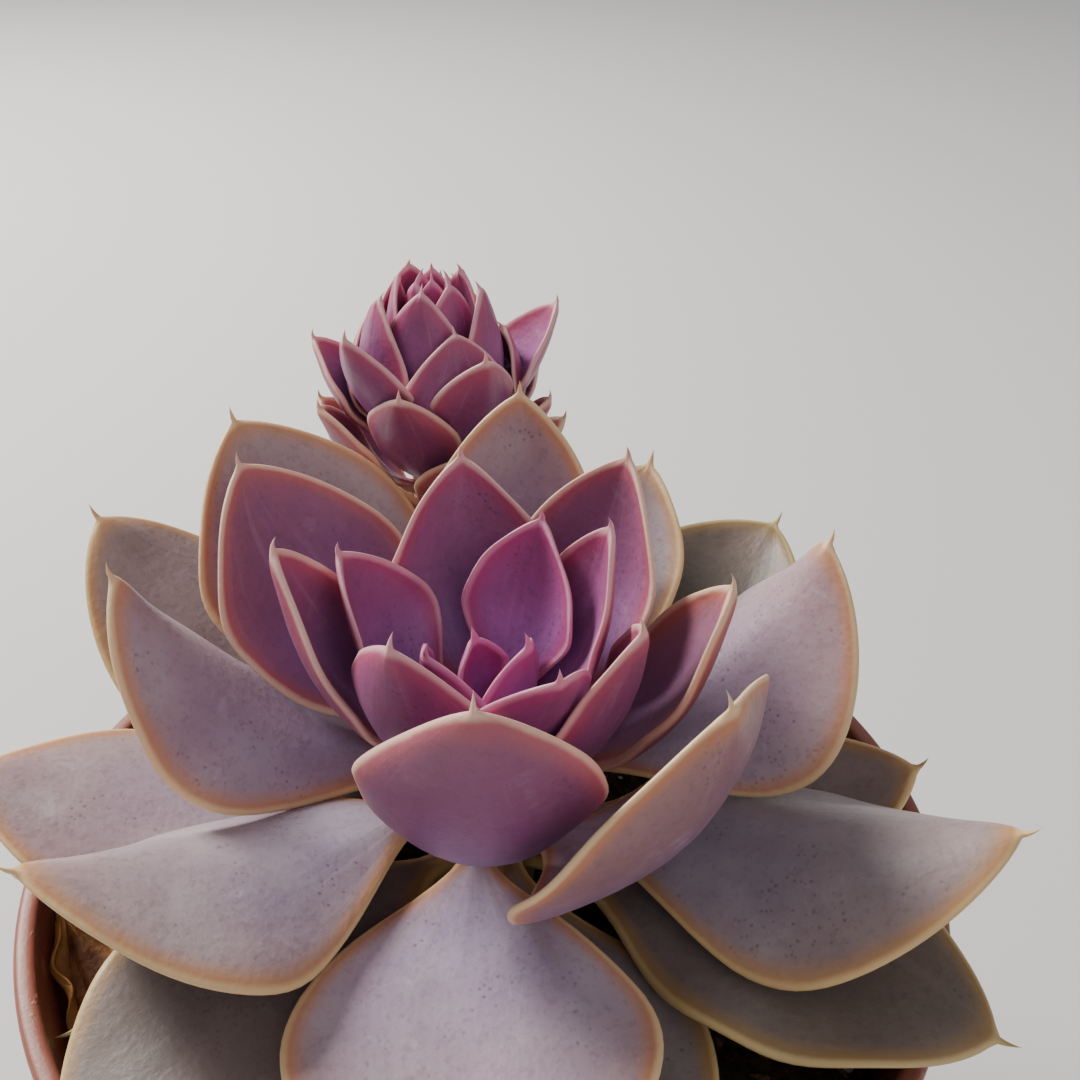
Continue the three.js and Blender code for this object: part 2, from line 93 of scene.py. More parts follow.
def add_lamp(name, place, size, watts, colour):
    """A square area lamp at place that faces the rosette's middle."""
    data = bpy.data.lights.new(name, "AREA")
    data.shape = "SQUARE"
    data.size = size
    data.energy = watts
    data.color = colour
    lamp = bpy.data.objects.new(name, data)
    scene.collection.objects.link(lamp)
    lamp.location = place
    aim = ROSETTE_MIDDLE - Vector(place)
    lamp.rotation_euler = aim.to_track_quat("-Z", "Y").to_euler()


add_lamp("window", place=(-0.75, 0.55, 0.85), size=0.42, watts=27.0,
         colour=(1.0, 0.965, 0.92))
add_lamp("room", place=(0.7, -0.9, 0.7), size=1.2, watts=3.5, colour=(0.95, 0.96, 1.0))

WORLD_COLOUR = (0.93, 0.94, 0.96, 1)
WORLD_STRENGTH = 0.42
world = bpy.data.worlds.new("pale_room")
scene.world = world
world.use_nodes = True
background = world.node_tree.nodes["Background"].inputs
background["Color"].default_value = WORLD_COLOUR
background["Strength"].default_value = WORLD_STRENGTH

# %% [markdown]
# ## Writing shader maths as sums
#
# A leaf skin needs many small sums: how far from the edge, how old, how blotchy. The
# `Value` class wraps one output socket so that `1 - mask * 0.5` adds the Math nodes by
# itself. Colours are mixed with `blend`, and every other node comes from `Skin.node`.


# %% Shader sums
class Value:
    """One number socket; + - and * on it add Math nodes."""

    def __init__(self, skin, socket):
        self.skin, self.socket = skin, socket

    def _sum(self, operation, one, other):
        return self.skin.node("ShaderNodeMath", {"operation": operation}, [one, other])

    def __add__(self, other): return self._sum("ADD", self, other)
    def __radd__(self, other): return self._sum("ADD", other, self)
    def __sub__(self, other): return self._sum("SUBTRACT", self, other)
    def __rsub__(self, other): return self._sum("SUBTRACT", other, self)
    def __mul__(self, other): return self._sum("MULTIPLY", self, other)
    def __rmul__(self, other): return self._sum("MULTIPLY", other, self)

    def step(self, low, high):
        """0 below low, 1 above high, eased between; high may be the smaller one."""
        settings = {"interpolation_type": "SMOOTHSTEP"}
        if low < high:
            return self.skin.node("ShaderNodeMapRange", settings, {
                "Value": self, "From Min": low, "From Max": high})
        return self.skin.node("ShaderNodeMapRange", settings, {
            "Value": self, "From Min": high, "From Max": low, "To Min": 1.0, "To Max": 0.0})


class Skin:
    """A material under construction, with its Principled shader."""

    def __init__(self, name, **constants):
        self.material = bpy.data.materials.new(name)
        self.material.use_nodes = True
        self.tree = self.material.node_tree
        self.shader = self.tree.nodes["Principled BSDF"]
        for socket, value in constants.items():
            self.shader.inputs[socket.replace("_", " ")].default_value = value
        coordinates = self.tree.nodes.new("ShaderNodeTexCoord")
        self.place = Value(self, coordinates.outputs["Object"])

    def _plug(self, socket, value):
        if isinstance(value, Value):
            self.tree.links.new(value.socket, socket)
        elif socket.type == "RGBA" and len(value) == 3:
            socket.default_value = (*value, 1.0)
        else:
            socket.default_value = value

    def node(self, kind, settings=None, values=None, output=0):
        """Adds a node, sets its settings first and then its sockets, and returns an output."""
        added = self.tree.nodes.new(kind)
        for name, value in (settings or {}).items():
            if name == "stops":
                ramp = added.color_ramp
                ramp.elements[0].position, ramp.elements[1].position = value[0][0], value[-1][0]
                for where, _ in value[1:-1]:
                    ramp.elements.new(where)
                for element, (_, colour) in zip(ramp.elements, value):
                    element.color = (*colour, 1.0)
            else:
                setattr(added, name, value)
        items = enumerate(values) if isinstance(values, list) else (values or {}).items()
        for name, value in items:
            self._plug(added.inputs[name], value)
        return Value(self, added.outputs[output])

    def attribute(self, name):
        """A number stored per point of the mesh."""
        return self.node("ShaderNodeAttribute", {"attribute_name": name}, output="Fac")

    def noise(self, scale, detail=2.0, roughness=0.5, place=None, distortion=0.0):
        """Smooth noise from 0 to 1; scale is in bumps per metre."""
        return self.node("ShaderNodeTexNoise", values={
            "Vector": place or self.place, "Scale": scale, "Detail": detail,
            "Roughness": roughness, "Distortion": distortion})

    def blend(self, share, one, other):
        """The colour one where share is 0 and other where it is 1."""
        mixer = self.tree.nodes.new("ShaderNodeMix")
        mixer.data_type = "RGBA"
        self._plug(mixer.inputs["Factor"], share)
        self._plug(mixer.inputs["A"], one)
        self._plug(mixer.inputs["B"], other)
        return Value(self, mixer.outputs["Result"])

    def stretched(self, x, y, z):
        """Object coordinates multiplied along each axis."""
        return self.node("ShaderNodeMapping", values={
            "Vector": self.place, "Scale": (x, y, z)})

    def bump(self, height, strength, distance):
        """A normal that tilts as if height, times distance in metres, were real relief."""
        return self.node("ShaderNodeBump", values={
            "Height": height, "Strength": strength, "Distance": distance})

    def finish(self, **sockets):
        """Plugs values into the Principled shader and returns the material."""
        for socket, value in sockets.items():
            self._plug(self.shader.inputs[socket.replace("_", " ")], value)
        return self.material


# %% [markdown]
# ## The leaf skin
#
# A leaf of this kind is purple under a pale wax. Young leaves are magenta, older ones
# turn mauve, then grey-olive. Near the edge the colour warms to orange and ends in a
# cream band. The wax is patchy where it has been rubbed, and there are fine dark specks.
# One material can do all of it if each leaf mesh carries a few numbers per point: how far
# the edge is, how far along the leaf, how old, and which face.

# %% Leaf skin
YOUNG_TO_OLD_FOOT = [
    (0.05, (0.46, 0.210, 0.66)), (0.33, (0.28, 0.110, 0.40)), (0.46, (0.32, 0.21, 0.40)),
    (0.62, (0.30, 0.25, 0.37)), (0.78, (0.13, 0.120, 0.12))]
YOUNG_TO_OLD_BLADE = [
    (0.05, (0.32, 0.045, 0.240)), (0.33, (0.23, 0.038, 0.150)), (0.46, (0.32, 0.155, 0.240)),
    (0.62, (0.27, 0.190, 0.200)), (0.78, (0.13, 0.098, 0.060))]
YOUNG_TO_OLD_HALO = [
    (0.05, (0.42, 0.050, 0.190)), (0.30, (0.48, 0.095, 0.120)), (0.45, (0.62, 0.235, 0.080)),
    (0.65, (0.56, 0.270, 0.075)), (0.85, (0.28, 0.170, 0.050))]
YOUNG_TO_OLD_EDGE = [
    (0.05, (0.68, 0.28, 0.44)), (0.28, (0.80, 0.52, 0.42)), (0.45, (0.82, 0.58, 0.33)),
    (0.65, (0.74, 0.49, 0.23)), (0.90, (0.44, 0.36, 0.15))]
UNDERSIDE, DARK_CLOUD = (0.18, 0.050, 0.120), (0.11, 0.035, 0.10)
BROWN_STREAK, PALE_STREAK = (0.13, 0.070, 0.065), (0.52, 0.40, 0.50)
TAN_BLOOM, GREEN_PATCH = (0.33, 0.205, 0.125), (0.13, 0.125, 0.055)
# The dark colour after OWN_TINT is painted shade, laid on the lowest leaves.
OWN_TINT, PAINTED_SHADE = (0.27, 0.16, 0.25), (0.060, 0.050, 0.030)
WAX, RUBBED_WAX = (0.60, 0.54, 0.62), (0.62, 0.54, 0.60)
MOTTLE, SPECK = (0.07, 0.025, 0.05), (0.085, 0.035, 0.050)
SPECKS_PER_METRE = 1000.0


def leaf_skin(name):
    """The waxy leaf material, driven by margin_mm, along, across, upper, age and tint."""
    skin = Skin(name, Subsurface_Weight=0.10, Subsurface_Scale=0.0025,
                Subsurface_Radius=(1.0, 0.30, 0.25), Sheen_Weight=0.03, Sheen_Roughness=0.4,
                Specular_IOR_Level=0.45, Coat_Weight=0.10, Coat_Roughness=0.28)
    margin = skin.attribute("margin_mm")
    along = skin.attribute("along")
    age = skin.attribute("age")
    upper = skin.attribute("upper")
    tint = skin.attribute("tint")
    lengthwise = skin.node("ShaderNodeCombineXYZ", values={
        "X": skin.attribute("across") * 5.5, "Y": along * 1.6, "Z": tint * 7.0})
    streaks = skin.noise(1.0, 4.0, 0.6, place=lengthwise)

    blotch = skin.noise(55.0, 3.0, 0.55)
    cloud = skin.noise(150.0, 4.0, 0.6)
    grain = skin.noise(950.0, 3.0, 0.65)
    old = age.step(0.33, 0.52)
    oldest = age.step(0.60, 0.82)

    def by_age(stops):
        return skin.node("ShaderNodeValToRGB", {"stops": stops}, {"Fac": age}, "Color")

    # The flesh: violet towards the foot, magenta or tan towards the tip and the edge.
    share = (along + (blotch - 0.5) * 0.5).step(0.20, 0.85)
    flesh = skin.blend(share, by_age(YOUNG_TO_OLD_FOOT), by_age(YOUNG_TO_OLD_BLADE))
    near_edge = (margin + (cloud - 0.5) * 3.0).step(8.0, 0.8)
    flesh = skin.blend(near_edge * 0.32, flesh, by_age(YOUNG_TO_OLD_HALO))
    under = 1 - upper
    flesh = skin.blend(under * 0.30, flesh, UNDERSIDE)
    flesh = skin.blend(cloud.step(0.45, 0.72) * 0.22, flesh, DARK_CLOUD)

    # Lengthwise streaks, brown at the foot of older leaves and faint on all.
    at_foot = along.step(0.62, 0.15) * old
    brown = streaks.step(0.46, 0.68) * (0.10 + 0.42 * at_foot)
    flesh = skin.blend(brown, flesh, BROWN_STREAK)
    flesh = skin.blend(streaks.step(0.46, 0.30) * 0.14, flesh, PALE_STREAK)

    # A tan bloom towards the tip of older leaves.
    tan = old * along.step(0.30, 0.92) * (0.25 + blotch.step(0.38, 0.66) * 0.55)
    flesh = skin.blend(tan * 0.75, flesh, TAN_BLOOM)

    # Greenish patches on the oldest leaves, and each leaf's own tint.
    green = oldest * skin.noise(38.0, 2.0).step(0.42, 0.66)
    flesh = skin.blend(green * 0.50, flesh, GREEN_PATCH)
    flesh = skin.blend(tint * 0.22, flesh, OWN_TINT)

    # Wax: an even veil with thicker, cloudy patches on the upper face of older leaves.
    rubbed = skin.noise(230.0, 5.0, 0.66, distortion=0.6).step(0.58, 0.74)
    bloom = upper * old * (1 - oldest * 0.75)
    veil = 0.02 + upper * 0.03 + bloom * 0.20 + blotch.step(0.42, 0.72) * bloom * 0.32
    flesh = skin.blend(veil, flesh, WAX)
    worn = rubbed * (0.10 + 0.20 * old) * (1 - 0.6 * oldest)
    flesh = skin.blend(worn, flesh, RUBBED_WAX)

    # Painted shade: the lowest leaves are darkened as if shaded by the leaves above them, most
    # of all where the cloud noise is high.
    flesh = skin.blend(oldest * (0.30 + cloud * 0.35), flesh, PAINTED_SHADE)

    # Fine mottling and specks: small cells, of which only some hold a dot.
    flesh = skin.blend(grain.step(0.50, 0.68) * 0.16, flesh, MOTTLE)
    specks = skin.node("ShaderNodeTexVoronoi", {"feature": "F1"}, {
        "Vector": skin.place, "Scale": SPECKS_PER_METRE, "Randomness": 1.0}, "Distance")
    some = skin.noise(120.0, 2.0).step(0.50, 0.66)
    dots = specks.step(0.30, 0.14) * some
    flesh = skin.blend(dots * 0.42, flesh, SPECK)

    # The edge: an orange halo, then the thin pale band.
    wander = (skin.noise(300.0, 3.0) - 0.5) * 0.7
    halo = (margin + wander).step(3.1, 0.50)
    edge = (margin + wander * 0.5).step(1.05, 0.30)
    colour = skin.blend(halo * 0.78, flesh, by_age(YOUNG_TO_OLD_HALO))
    colour = skin.blend(edge * 0.90, colour, by_age(YOUNG_TO_OLD_EDGE))

    creases = skin.noise(330.0, 2.0, 0.5)
    height = grain * 0.30 + creases * 0.5 + specks * 0.12 + streaks * 0.35
    return skin.finish(
        Base_Color=colour,
        Roughness=0.37 + cloud * 0.18 + rubbed * 0.12,
        Normal=skin.bump(height, 0.30, 0.0007))


leaf_material = leaf_skin("leaf_skin")
print("leaf skin has", len(leaf_material.node_tree.nodes), "nodes")

# %% [markdown]
# ## Reading a leaf from the frame
#
# The CAD leaf is a closed loft: eight rings of twelve points between a foot point and a
# tip point. Walking from the foot, ring after ring, gives back that order. Points 0 and 6
# of each ring are the two edges, and each upper point has a partner underneath: their
# middle lies on the leaf's middle sheet and half their distance is its half thickness.

# %% Walk along the rings
AROUND = 12
RINGS = 8
STATIONS = np.array([0, 0.125, 0.275, 0.45, 0.625, 0.775, 0.9, 0.975, 1.0])
DOUBLED = 0.02 * MM  # points closer than this are one
NEAR_AXIS = 10 * MM  # with both ends this near the axis, the lower one is the foot


def merged(node):
    """Points and triangles of a CAD node with its doubled points merged."""
    mesh = bmesh.new()
    mesh.from_mesh(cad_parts[node].data)
    bmesh.ops.remove_doubles(mesh, verts=mesh.verts, dist=DOUBLED)
    points = np.array([v.co[:] for v in mesh.verts])
    faces = [[v.index for v in f.verts] for f in mesh.faces]
    mesh.free()
    return points, faces


def walk_rings(points, faces, axis_point):
    """Point numbers of the rings from the foot on, and of the tip.

    The ends are the two points with twelve neighbours. From an edge of one ring, the
    triangle on its far side leads to the next ring."""
    opposite = {}
    touching = {}
    for a, b, c in faces:
        opposite[a, b], opposite[b, c], opposite[c, a] = c, a, b
        for one, two in ((a, b), (b, c), (c, a)):
            touching.setdefault(one, set()).add(two)
            touching.setdefault(two, set()).add(one)
    poles = [v for v, near in touching.items() if len(near) == AROUND]
    reach = [np.hypot(*(points[p] - axis_point)[:2]) for p in poles]
    if max(reach) < NEAR_AXIS:
        foot = min(poles, key=lambda p: points[p][2])
    else:
        foot = poles[int(np.argmin(reach))]
    ring = [next(iter(touching[foot]))]
    while len(ring) < AROUND:
        ring.append(opposite[foot, ring[-1]])
    ring.reverse()
    rings = [ring]
    while len(rings) < RINGS:
        last = rings[-1]
        rings.append([opposite[last[k], last[(k + 1) % AROUND]] for k in range(AROUND)])
    return rings, opposite[rings[-1][0], rings[-1][1]]


# %% Read the middle sheet
ACROSS_POINTS = AROUND // 2 + 1  # points of a ring from one edge over to the other
MIDDLE = ACROSS_POINTS // 2
TIP_THICKNESS = 0.6  # of the last ring's


def read_leaf(node, axis_point):
    """The leaf's middle sheet (9 stations x 7 across x 3), half thickness and upward side."""
    points, faces = merged(node)
    rings, tip = walk_rings(points, faces, axis_point)
    grid = points[np.array(rings)]
    wide = grid[3:6].mean(0)
    spans = np.linalg.norm(wide[:6] - wide[6:], axis=1)
    grid = np.roll(grid, -int(np.argmax(spans)), axis=1)
    facing = (grid[2:7, 3] - grid[2:7, 9]).mean(0)
    inwards = axis_point - grid[4].mean(0)
    inwards[2] = 0
    inwards = inwards / np.linalg.norm(inwards) + np.array([0, 0, 1.0])
    if facing @ inwards < 0:
        grid = np.roll(grid, -6, axis=1)
        facing = -facing
    upper = grid[:, :ACROSS_POINTS]
    lower = grid[:, [0, 11, 10, 9, 8, 7, 6]]
    tip_row = np.broadcast_to(points[tip], (1, ACROSS_POINTS, 3))
    sheet = np.concatenate([(upper + lower) / 2, tip_row])
    half = np.linalg.norm(upper - lower, axis=2) / 2
    half = np.concatenate([half, half[-1:] * TIP_THICKNESS])
    return sheet, half, facing


# %% [markdown]
# ## Growing the finished leaf
#
# The twelve-sided loft is too coarse to look at, so each leaf is grown again as a smooth
# surface of two parameters: `t` along it and an angle around its section. Splines carry
# the midline, the half width and the shape of the section from station to station. The
# section is thick and round at the edge, and the outline runs out into a fine hooked
# point, which the CAD leaf leaves off.


# %% Spline helper
def spline(knots, values, at):
    """Natural cubic spline through values at the knots, read at the places in at."""
    knots, at = np.asarray(knots, float), np.asarray(at, float)
    values = np.asarray(values, float)
    flat = values.reshape(len(knots), -1)
    n, h = len(knots), np.diff(knots)
    system = np.zeros((n, n))
    system[0, 0] = system[-1, -1] = 1
    right = np.zeros_like(flat)
    inner = np.arange(1, n - 1)
    system[inner, inner - 1] = h[:-1]
    system[inner, inner] = 2 * (h[:-1] + h[1:])
    system[inner, inner + 1] = h[1:]
    slopes = np.diff(flat, axis=0) / h[:, None]
    right[1:-1] = 6 * np.diff(slopes, axis=0)
    bend = np.linalg.solve(system, right)
    k = np.clip(np.searchsorted(knots, at, side="right") - 1, 0, n - 2)
    x, hk = (at - knots[k])[:, None], h[k][:, None]
    a = flat[k]
    b = slopes[k] - hk * (2 * bend[k] + bend[k + 1]) / 6
    out = a + b * x + bend[k] / 2 * x**2 + (bend[k + 1] - bend[k]) / (6 * hk) * x**3
    return out.reshape(len(at), *values.shape[1:])


# %% Outline of a leaf
ALONG_FINE = 44
LAST_WIDE = STATIONS[-2]  # the last station that has a width
TIP_POWER = 0.72  # how bluntly the outline closes
TAPER_POWER = 1.3
SPIKE_WIDTH = 0.55  # of the spike's length
SPIKE_FROM = 0.07  # where the spike is full, as a share of the leaf before its tip
JOINING = 2.6  # power that joins the spike smoothly to the blade
THINNEST = 0.02 * MM


def leaf_width(t, chord, spike, extra, taper):
    """Half width along the leaf: a spline times (1 - t) ** TIP_POWER, then the spike.

    The measured half width over (1 - t) ** TIP_POWER is smooth up to the tip, so the
    spline carries that. taper narrows the outer half."""
    inside = np.minimum(t, 1.0)
    closing = (1 - STATIONS[:-1]) ** TIP_POWER
    fullness = spline(STATIONS[:-1], chord[:-1] / closing, np.minimum(inside, LAST_WIDE))
    width = fullness * (1 - inside) ** TIP_POWER
    width = width * (1 - taper * np.clip((inside - 0.5) / 0.5, 0, 1) ** TAPER_POWER)
    needle = np.clip((1 + extra - t) / (extra + SPIKE_FROM), 0, 1) * spike * SPIKE_WIDTH
    near_tip = np.clip((t - 0.6) / 0.3, 0, 1)
    width = (width**JOINING + (needle * near_tip) ** JOINING) ** (1 / JOINING)
    return np.maximum(width, THINNEST)


# %% Section of a leaf
AROUND_FINE = 48
ANGLE = np.arange(AROUND_FINE) * 2 * np.pi / AROUND_FINE
ACROSS = np.cos(ANGLE)  # 1 at one edge, -1 at the other
CHEBYSHEV = np.cos(np.arange(ACROSS_POINTS) * np.pi / 6)  # where the seven points stand
INNER_EDGE = 0.93  # slopes are read no nearer the edge than this
SLOPE_STEP = 0.05


def across_series(values):
    """Cosine series through seven values across the leaf, from one edge to the other."""
    m, j = np.arange(ACROSS_POINTS)[:, None], np.arange(ACROSS_POINTS)[None, :]
    weight = np.where((j == 0) | (j == 6), 0.5, 1.0)
    matrix = np.cos(m * j * np.pi / 6) * weight / 3
    matrix[[0, 6]] /= 2
    return np.einsum("mj,tj...->tm...", matrix, values)


def section(series, places):
    """Each row's section at the given places across, as the sum of its cosine series."""
    order = np.arange(ACROSS_POINTS)[:, None]
    waves = np.cos(order * np.arccos(np.clip(places, -1, 1))[None, :])
    return np.einsum("ms,tmk->tsk", waves, series)


def sheet_normals(t, path, series, width, ahead, facing):
    """Unit normals of the middle sheet: its slope across crossed with its slope along."""
    inner = np.clip(ACROSS, -INNER_EDGE, INNER_EDGE)
    sheet_in = path[:, None] + section(series, inner) * width[:, None, None]
    across = (section(series, inner + SLOPE_STEP)
              - section(series, inner - SLOPE_STEP)) * width[:, None, None]
    onwards = np.gradient(sheet_in, axis=0)
    onwards[t > 0.985] = ahead
    normal = np.cross(across, onwards)
    normal /= np.linalg.norm(normal, axis=2, keepdims=True) + 1e-12
    return normal * np.sign((normal[ALONG_FINE // 2] @ facing).sum())


# %% Thickness of a leaf
THIN_BODY = 0.25 * MM  # half thickness never falls below this ...
WIDTH_SHARE = 0.85  # ... unless the leaf is narrower than it is thick
EDGE_THICKNESS = 0.30  # of the middle's
KEEL_DEPTH, KEEL_WIDTH = 0.30, 0.16  # of the thickness and of the half width


def leaf_thickness(t, width, half):
    """Half thickness of each row's middle, its rounding to the edge, and the whole of it.

    It is full in the middle, fleshy and round at the edge, with a keel underneath."""
    body = spline(STATIONS, half[:, MIDDLE], np.minimum(t, 1.0))
    body = np.minimum(np.maximum(body, THIN_BODY), width * WIDTH_SHARE)
    sharp = np.clip(2 * width / (EDGE_THICKNESS * body), 3, 60)[:, None]
    cap = np.sqrt(np.clip(1 - np.abs(ACROSS) ** sharp, 0, 1))
    swell = (EDGE_THICKNESS + (1 - EDGE_THICKNESS) * (1 - ACROSS**2) ** 0.9) * cap
    under = np.sin(ANGLE) < -1e-9
    keel = KEEL_DEPTH * np.exp(-((ACROSS / KEEL_WIDTH) ** 2)) * under
    keel = keel * (np.clip(t, 0, 1) * (1 - 0.5 * t))[:, None]
    return body, cap, body[:, None] * (swell + keel)


# %% Leaf surface
ROW_CROWDING = 1.7  # rows stand closer together towards the tip
HOOK_CURL = 0.35
UNEVEN_WIDTH = 0.03
DENT_DEPTH = 0.09  # of the half thickness


def leaf_surface(sheet, half, facing, spike, wave, seed, wrinkle=0.0, taper=0.30):
    """Rings of the finished leaf: midline + half width x section + normal x thickness.

    spike is the length of the hooked point, wave how far the edges undulate. Returns the
    points (along x around x 3) and the numbers per point that the leaf skin reads."""
    rng = np.random.default_rng(seed)
    phase = rng.uniform(0, 2 * np.pi, 4)
    lobes = rng.uniform(2.2, 3.6, 2)
    midline = sheet[:, MIDDLE]
    chord = np.linalg.norm(sheet[:, 0] - sheet[:, -1], axis=1) / 2
    chord[-1] = 0
    length = np.linalg.norm(np.diff(midline, axis=0), axis=1).sum()
    extra = spike / length
    u = np.linspace(0, 1, ALONG_FINE)
    t = (1 + extra) * (1 - (1 - u) ** ROW_CROWDING)
    width = leaf_width(t, chord, spike, extra, taper)

    # Section shape, as a share of the half width, held past the last station.
    shape = (sheet[:-1] - midline[:-1, None]) / chord[:-1, None, None]
    series = across_series(spline(STATIONS[:-1], shape, np.minimum(t, LAST_WIDE)))
    path = spline(STATIONS, midline, np.minimum(t, 1.0))
    ahead = midline[-1] - midline[-2]
    ahead = ahead / np.linalg.norm(ahead)

    # The edges ripple up and down, and the outline is a little uneven.
    s = ACROSS
    side = np.where(s >= 0, 0, 1)
    ripple = np.sin(2 * np.pi * lobes[side] * t[:, None] + phase[side])
    uneven = 1 + UNEVEN_WIDTH * np.sin(2 * np.pi * 1.3 * t[:, None] + phase[side + 2])
    full = section(series, s) * (width[:, None] * uneven)[..., None]
    normal = sheet_normals(t, path, series, width, ahead, facing)

    # Past the tip, the path runs on and curls towards the upper side.
    middle_normal = normal[:, AROUND_FINE // 4]
    beyond = np.maximum(t - 1, 0)[:, None] * length
    hook = beyond**2 / max(spike, 1e-6) * HOOK_CURL
    path = path + ahead * beyond + middle_normal[-8] * hook

    body, cap, thick = leaf_thickness(t, width, half)
    lift = ripple * wave * np.abs(s) ** 3 * np.sin(np.pi * np.clip(t, 0, 1))[:, None]
    dents = DENT_DEPTH * body[:, None] * np.sin(
        7 * t[:, None] + 3 * s + phase[0]) * np.sin(5 * s + phase[1])
    folds = np.sin(9 * s + 2.5 * np.sin(4 * t[:, None] + phase[2])) + 0.6 * np.sin(
        17 * s + 11 * t[:, None] + phase[3])
    push = thick * np.sign(np.sin(ANGLE)) + lift + dents * cap + wrinkle * folds * cap
    points = path[:, None] + full + normal * push[..., None]
    return points, skin_numbers(t, width, length)


def skin_numbers(t, width, length):
    """What the leaf skin reads: distance to the edge, place along and across, and face."""
    to_side = width[:, None] * (1 - np.abs(ACROSS)) / MM
    to_tip = np.maximum(1 - t, 0)[:, None] * length / MM * 0.8 + 0 * to_side
    margin = 1 / np.sqrt(1 / (to_side + 0.05) ** 2 + 1 / (to_tip + 0.3) ** 2)
    return {
        "margin_mm": margin,
        "along": np.clip(t, 0, 1)[:, None] + 0 * margin,
        "across": ACROSS[None, :] + 0 * margin,
        "upper": 0.5 + 0.5 * np.tanh(np.sin(ANGLE) * 9)[None, :] + 0 * margin,
    }


# %% Put rings into a mesh
def ring_mesh(name, points, numbers, material):
    """A closed mesh through rings of points, with a fan at each end."""
    rows, around = points.shape[:2]
    ends = np.stack([points[0].mean(0), points[-1].mean(0)])
    everything = np.concatenate([points.reshape(-1, 3), ends])
    r, k = np.meshgrid(np.arange(rows - 1), np.arange(around), indexing="ij")
    here, there = r * around + k, r * around + (k + 1) % around
    quads = np.stack([here, there, there + around, here + around], -1).reshape(-1, 4)
    k = np.arange(around)
    start, end = rows * around, rows * around + 1
    last = (rows - 1) * around
    foot = np.stack([np.full(around, start), (k + 1) % around, k], -1)
    tip = np.stack([np.full(around, end), last + k, last + (k + 1) % around], -1)
    mesh = bpy.data.meshes.new(name)
    mesh.from_pydata(everything.tolist(), [], quads.tolist() + foot.tolist() + tip.tolist())
    for key, values in numbers.items():
        layer = mesh.attributes.new(key, "FLOAT", "POINT")
        flat = values.reshape(-1)
        ends_value = [values[0].mean(), values[-1].mean()]
        layer.data.foreach_set("value", np.concatenate([flat, ends_value]).astype(np.float32))
    mesh.materials.append(material)
    mesh.polygons.foreach_set("use_smooth", [True] * len(mesh.polygons))
    mesh.update()
    piece = bpy.data.objects.new(name, mesh)
    scene.collection.objects.link(piece)
    return piece


def signed_volume(piece):
    """Volume under the mesh's faces; below 0 if it is inside out."""
    mesh = bmesh.new()
    mesh.from_mesh(piece.data)
    volume = mesh.calc_volume(signed=True)
    mesh.free()
    return volume


def face_outwards(piece):
    """Flips the faces of a mesh that is inside out."""
    if signed_volume(piece) < 0:
        piece.data.flip_normals()


def settle(piece, slot, *nodes):
    """Turns the piece outwards if needed and lets it stand for its CAD nodes."""
    face_outwards(piece)
    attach(piece, "root")
    if nodes:
        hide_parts(*nodes)


# %% [markdown]
# ## All the leaves
#
# The CAD names number the rosette's leaves from the oldest, 01, to the youngest, 39. That
# number gives a leaf its age, and with it its colour, the length of its point and how
# much its edges wave.

# %% Grow the leaves
ROSETTE_LEAVES = 39
HEAD_LEAVES = 15
STEM_RADIUS = 6 * MM  # the box's back, less this, is the stem's axis at its foot
stem_low, stem_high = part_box("main_stem")
rosette_axis = np.array([(stem_low.x + stem_high.x) / 2, stem_high.y - STEM_RADIUS,
                         stem_high.z])
crown_low, crown_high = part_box("head_crown")
head_axis = np.array([(crown_low.x + crown_high.x) / 2, (crown_low.y + crown_high.y) / 2,
                      crown_low.z])

HEAD_SEED, TINT_SEED = 100, 500
HEAD_AGE, HEAD_AGE_RANGE = 0.40, 0.22  # of its oldest leaf, and down to its youngest
# Past an age of 0.6 these raised ages also bring in the painted shade of the lowest leaves, so
# they stand partly for real ageing and partly for shade.
WEATHERED = {  # leaves that have aged more than their place tells, as an age
    "rosette_leaf_24": 0.60, "rosette_leaf_23": 0.48, "rosette_leaf_17": 0.68,
    "rosette_leaf_14": 0.74, "rosette_leaf_16": 0.56, "rosette_leaf_11": 0.78,
}

for node in leaf_nodes:
    in_head = node.startswith("head")
    number = int(node[-2:])
    count = HEAD_LEAVES if in_head else ROSETTE_LEAVES
    youth = (number - 1) / (count - 1)
    sheet, half, facing = read_leaf(node, head_axis if in_head else rosette_axis)
    spike = (1.5 if in_head else 2.7 - 1.1 * youth) * MM
    wave = 0.2 * MM if in_head else (0.9 - 0.7 * youth) * MM
    taper = 0.30 if in_head else 0.22 + 0.20 * youth
    points, numbers = leaf_surface(
        sheet, half, facing, spike, wave, HEAD_SEED * in_head + number, taper=taper)
    age = HEAD_AGE - HEAD_AGE_RANGE * youth if in_head else 1 - youth
    numbers["age"] = np.full(points.shape[:2], WEATHERED.get(node, age))
    tint = np.random.default_rng(TINT_SEED + number).uniform(0, 1)
    numbers["tint"] = np.full(points.shape[:2], tint * (0.3 if in_head else 1.0))
    piece = ring_mesh(f"{node}_flesh", points, numbers, leaf_material)
    settle(piece, "head_leaf_skin" if in_head else "rosette_leaf_skin", node)
print("leaves grown")

# %% [markdown]
# ## The closed top of the second head
#
# The second head is still young: above its open leaves the next ones stand pressed
# together like the scales of an artichoke. The frame holds that cluster as one plain
# body, whose box tells how wide and how high to stack the scales. Each scale is a trough
# around the head's axis, and successive scales turn by the golden angle.

# %% Scales of the young head
SCALES = 16
FIRST_SCALE = 20  # degrees
SCALE_FOOT = 3 * MM  # how far the scales start below the cluster
SCALE_SPIKE, SCALE_WAVE = 1.3 * MM, 0.15 * MM
SCALE_TINT = 0.15
SCALE_SEED = 900
NARROWEST_FOOT = 1.6 * MM


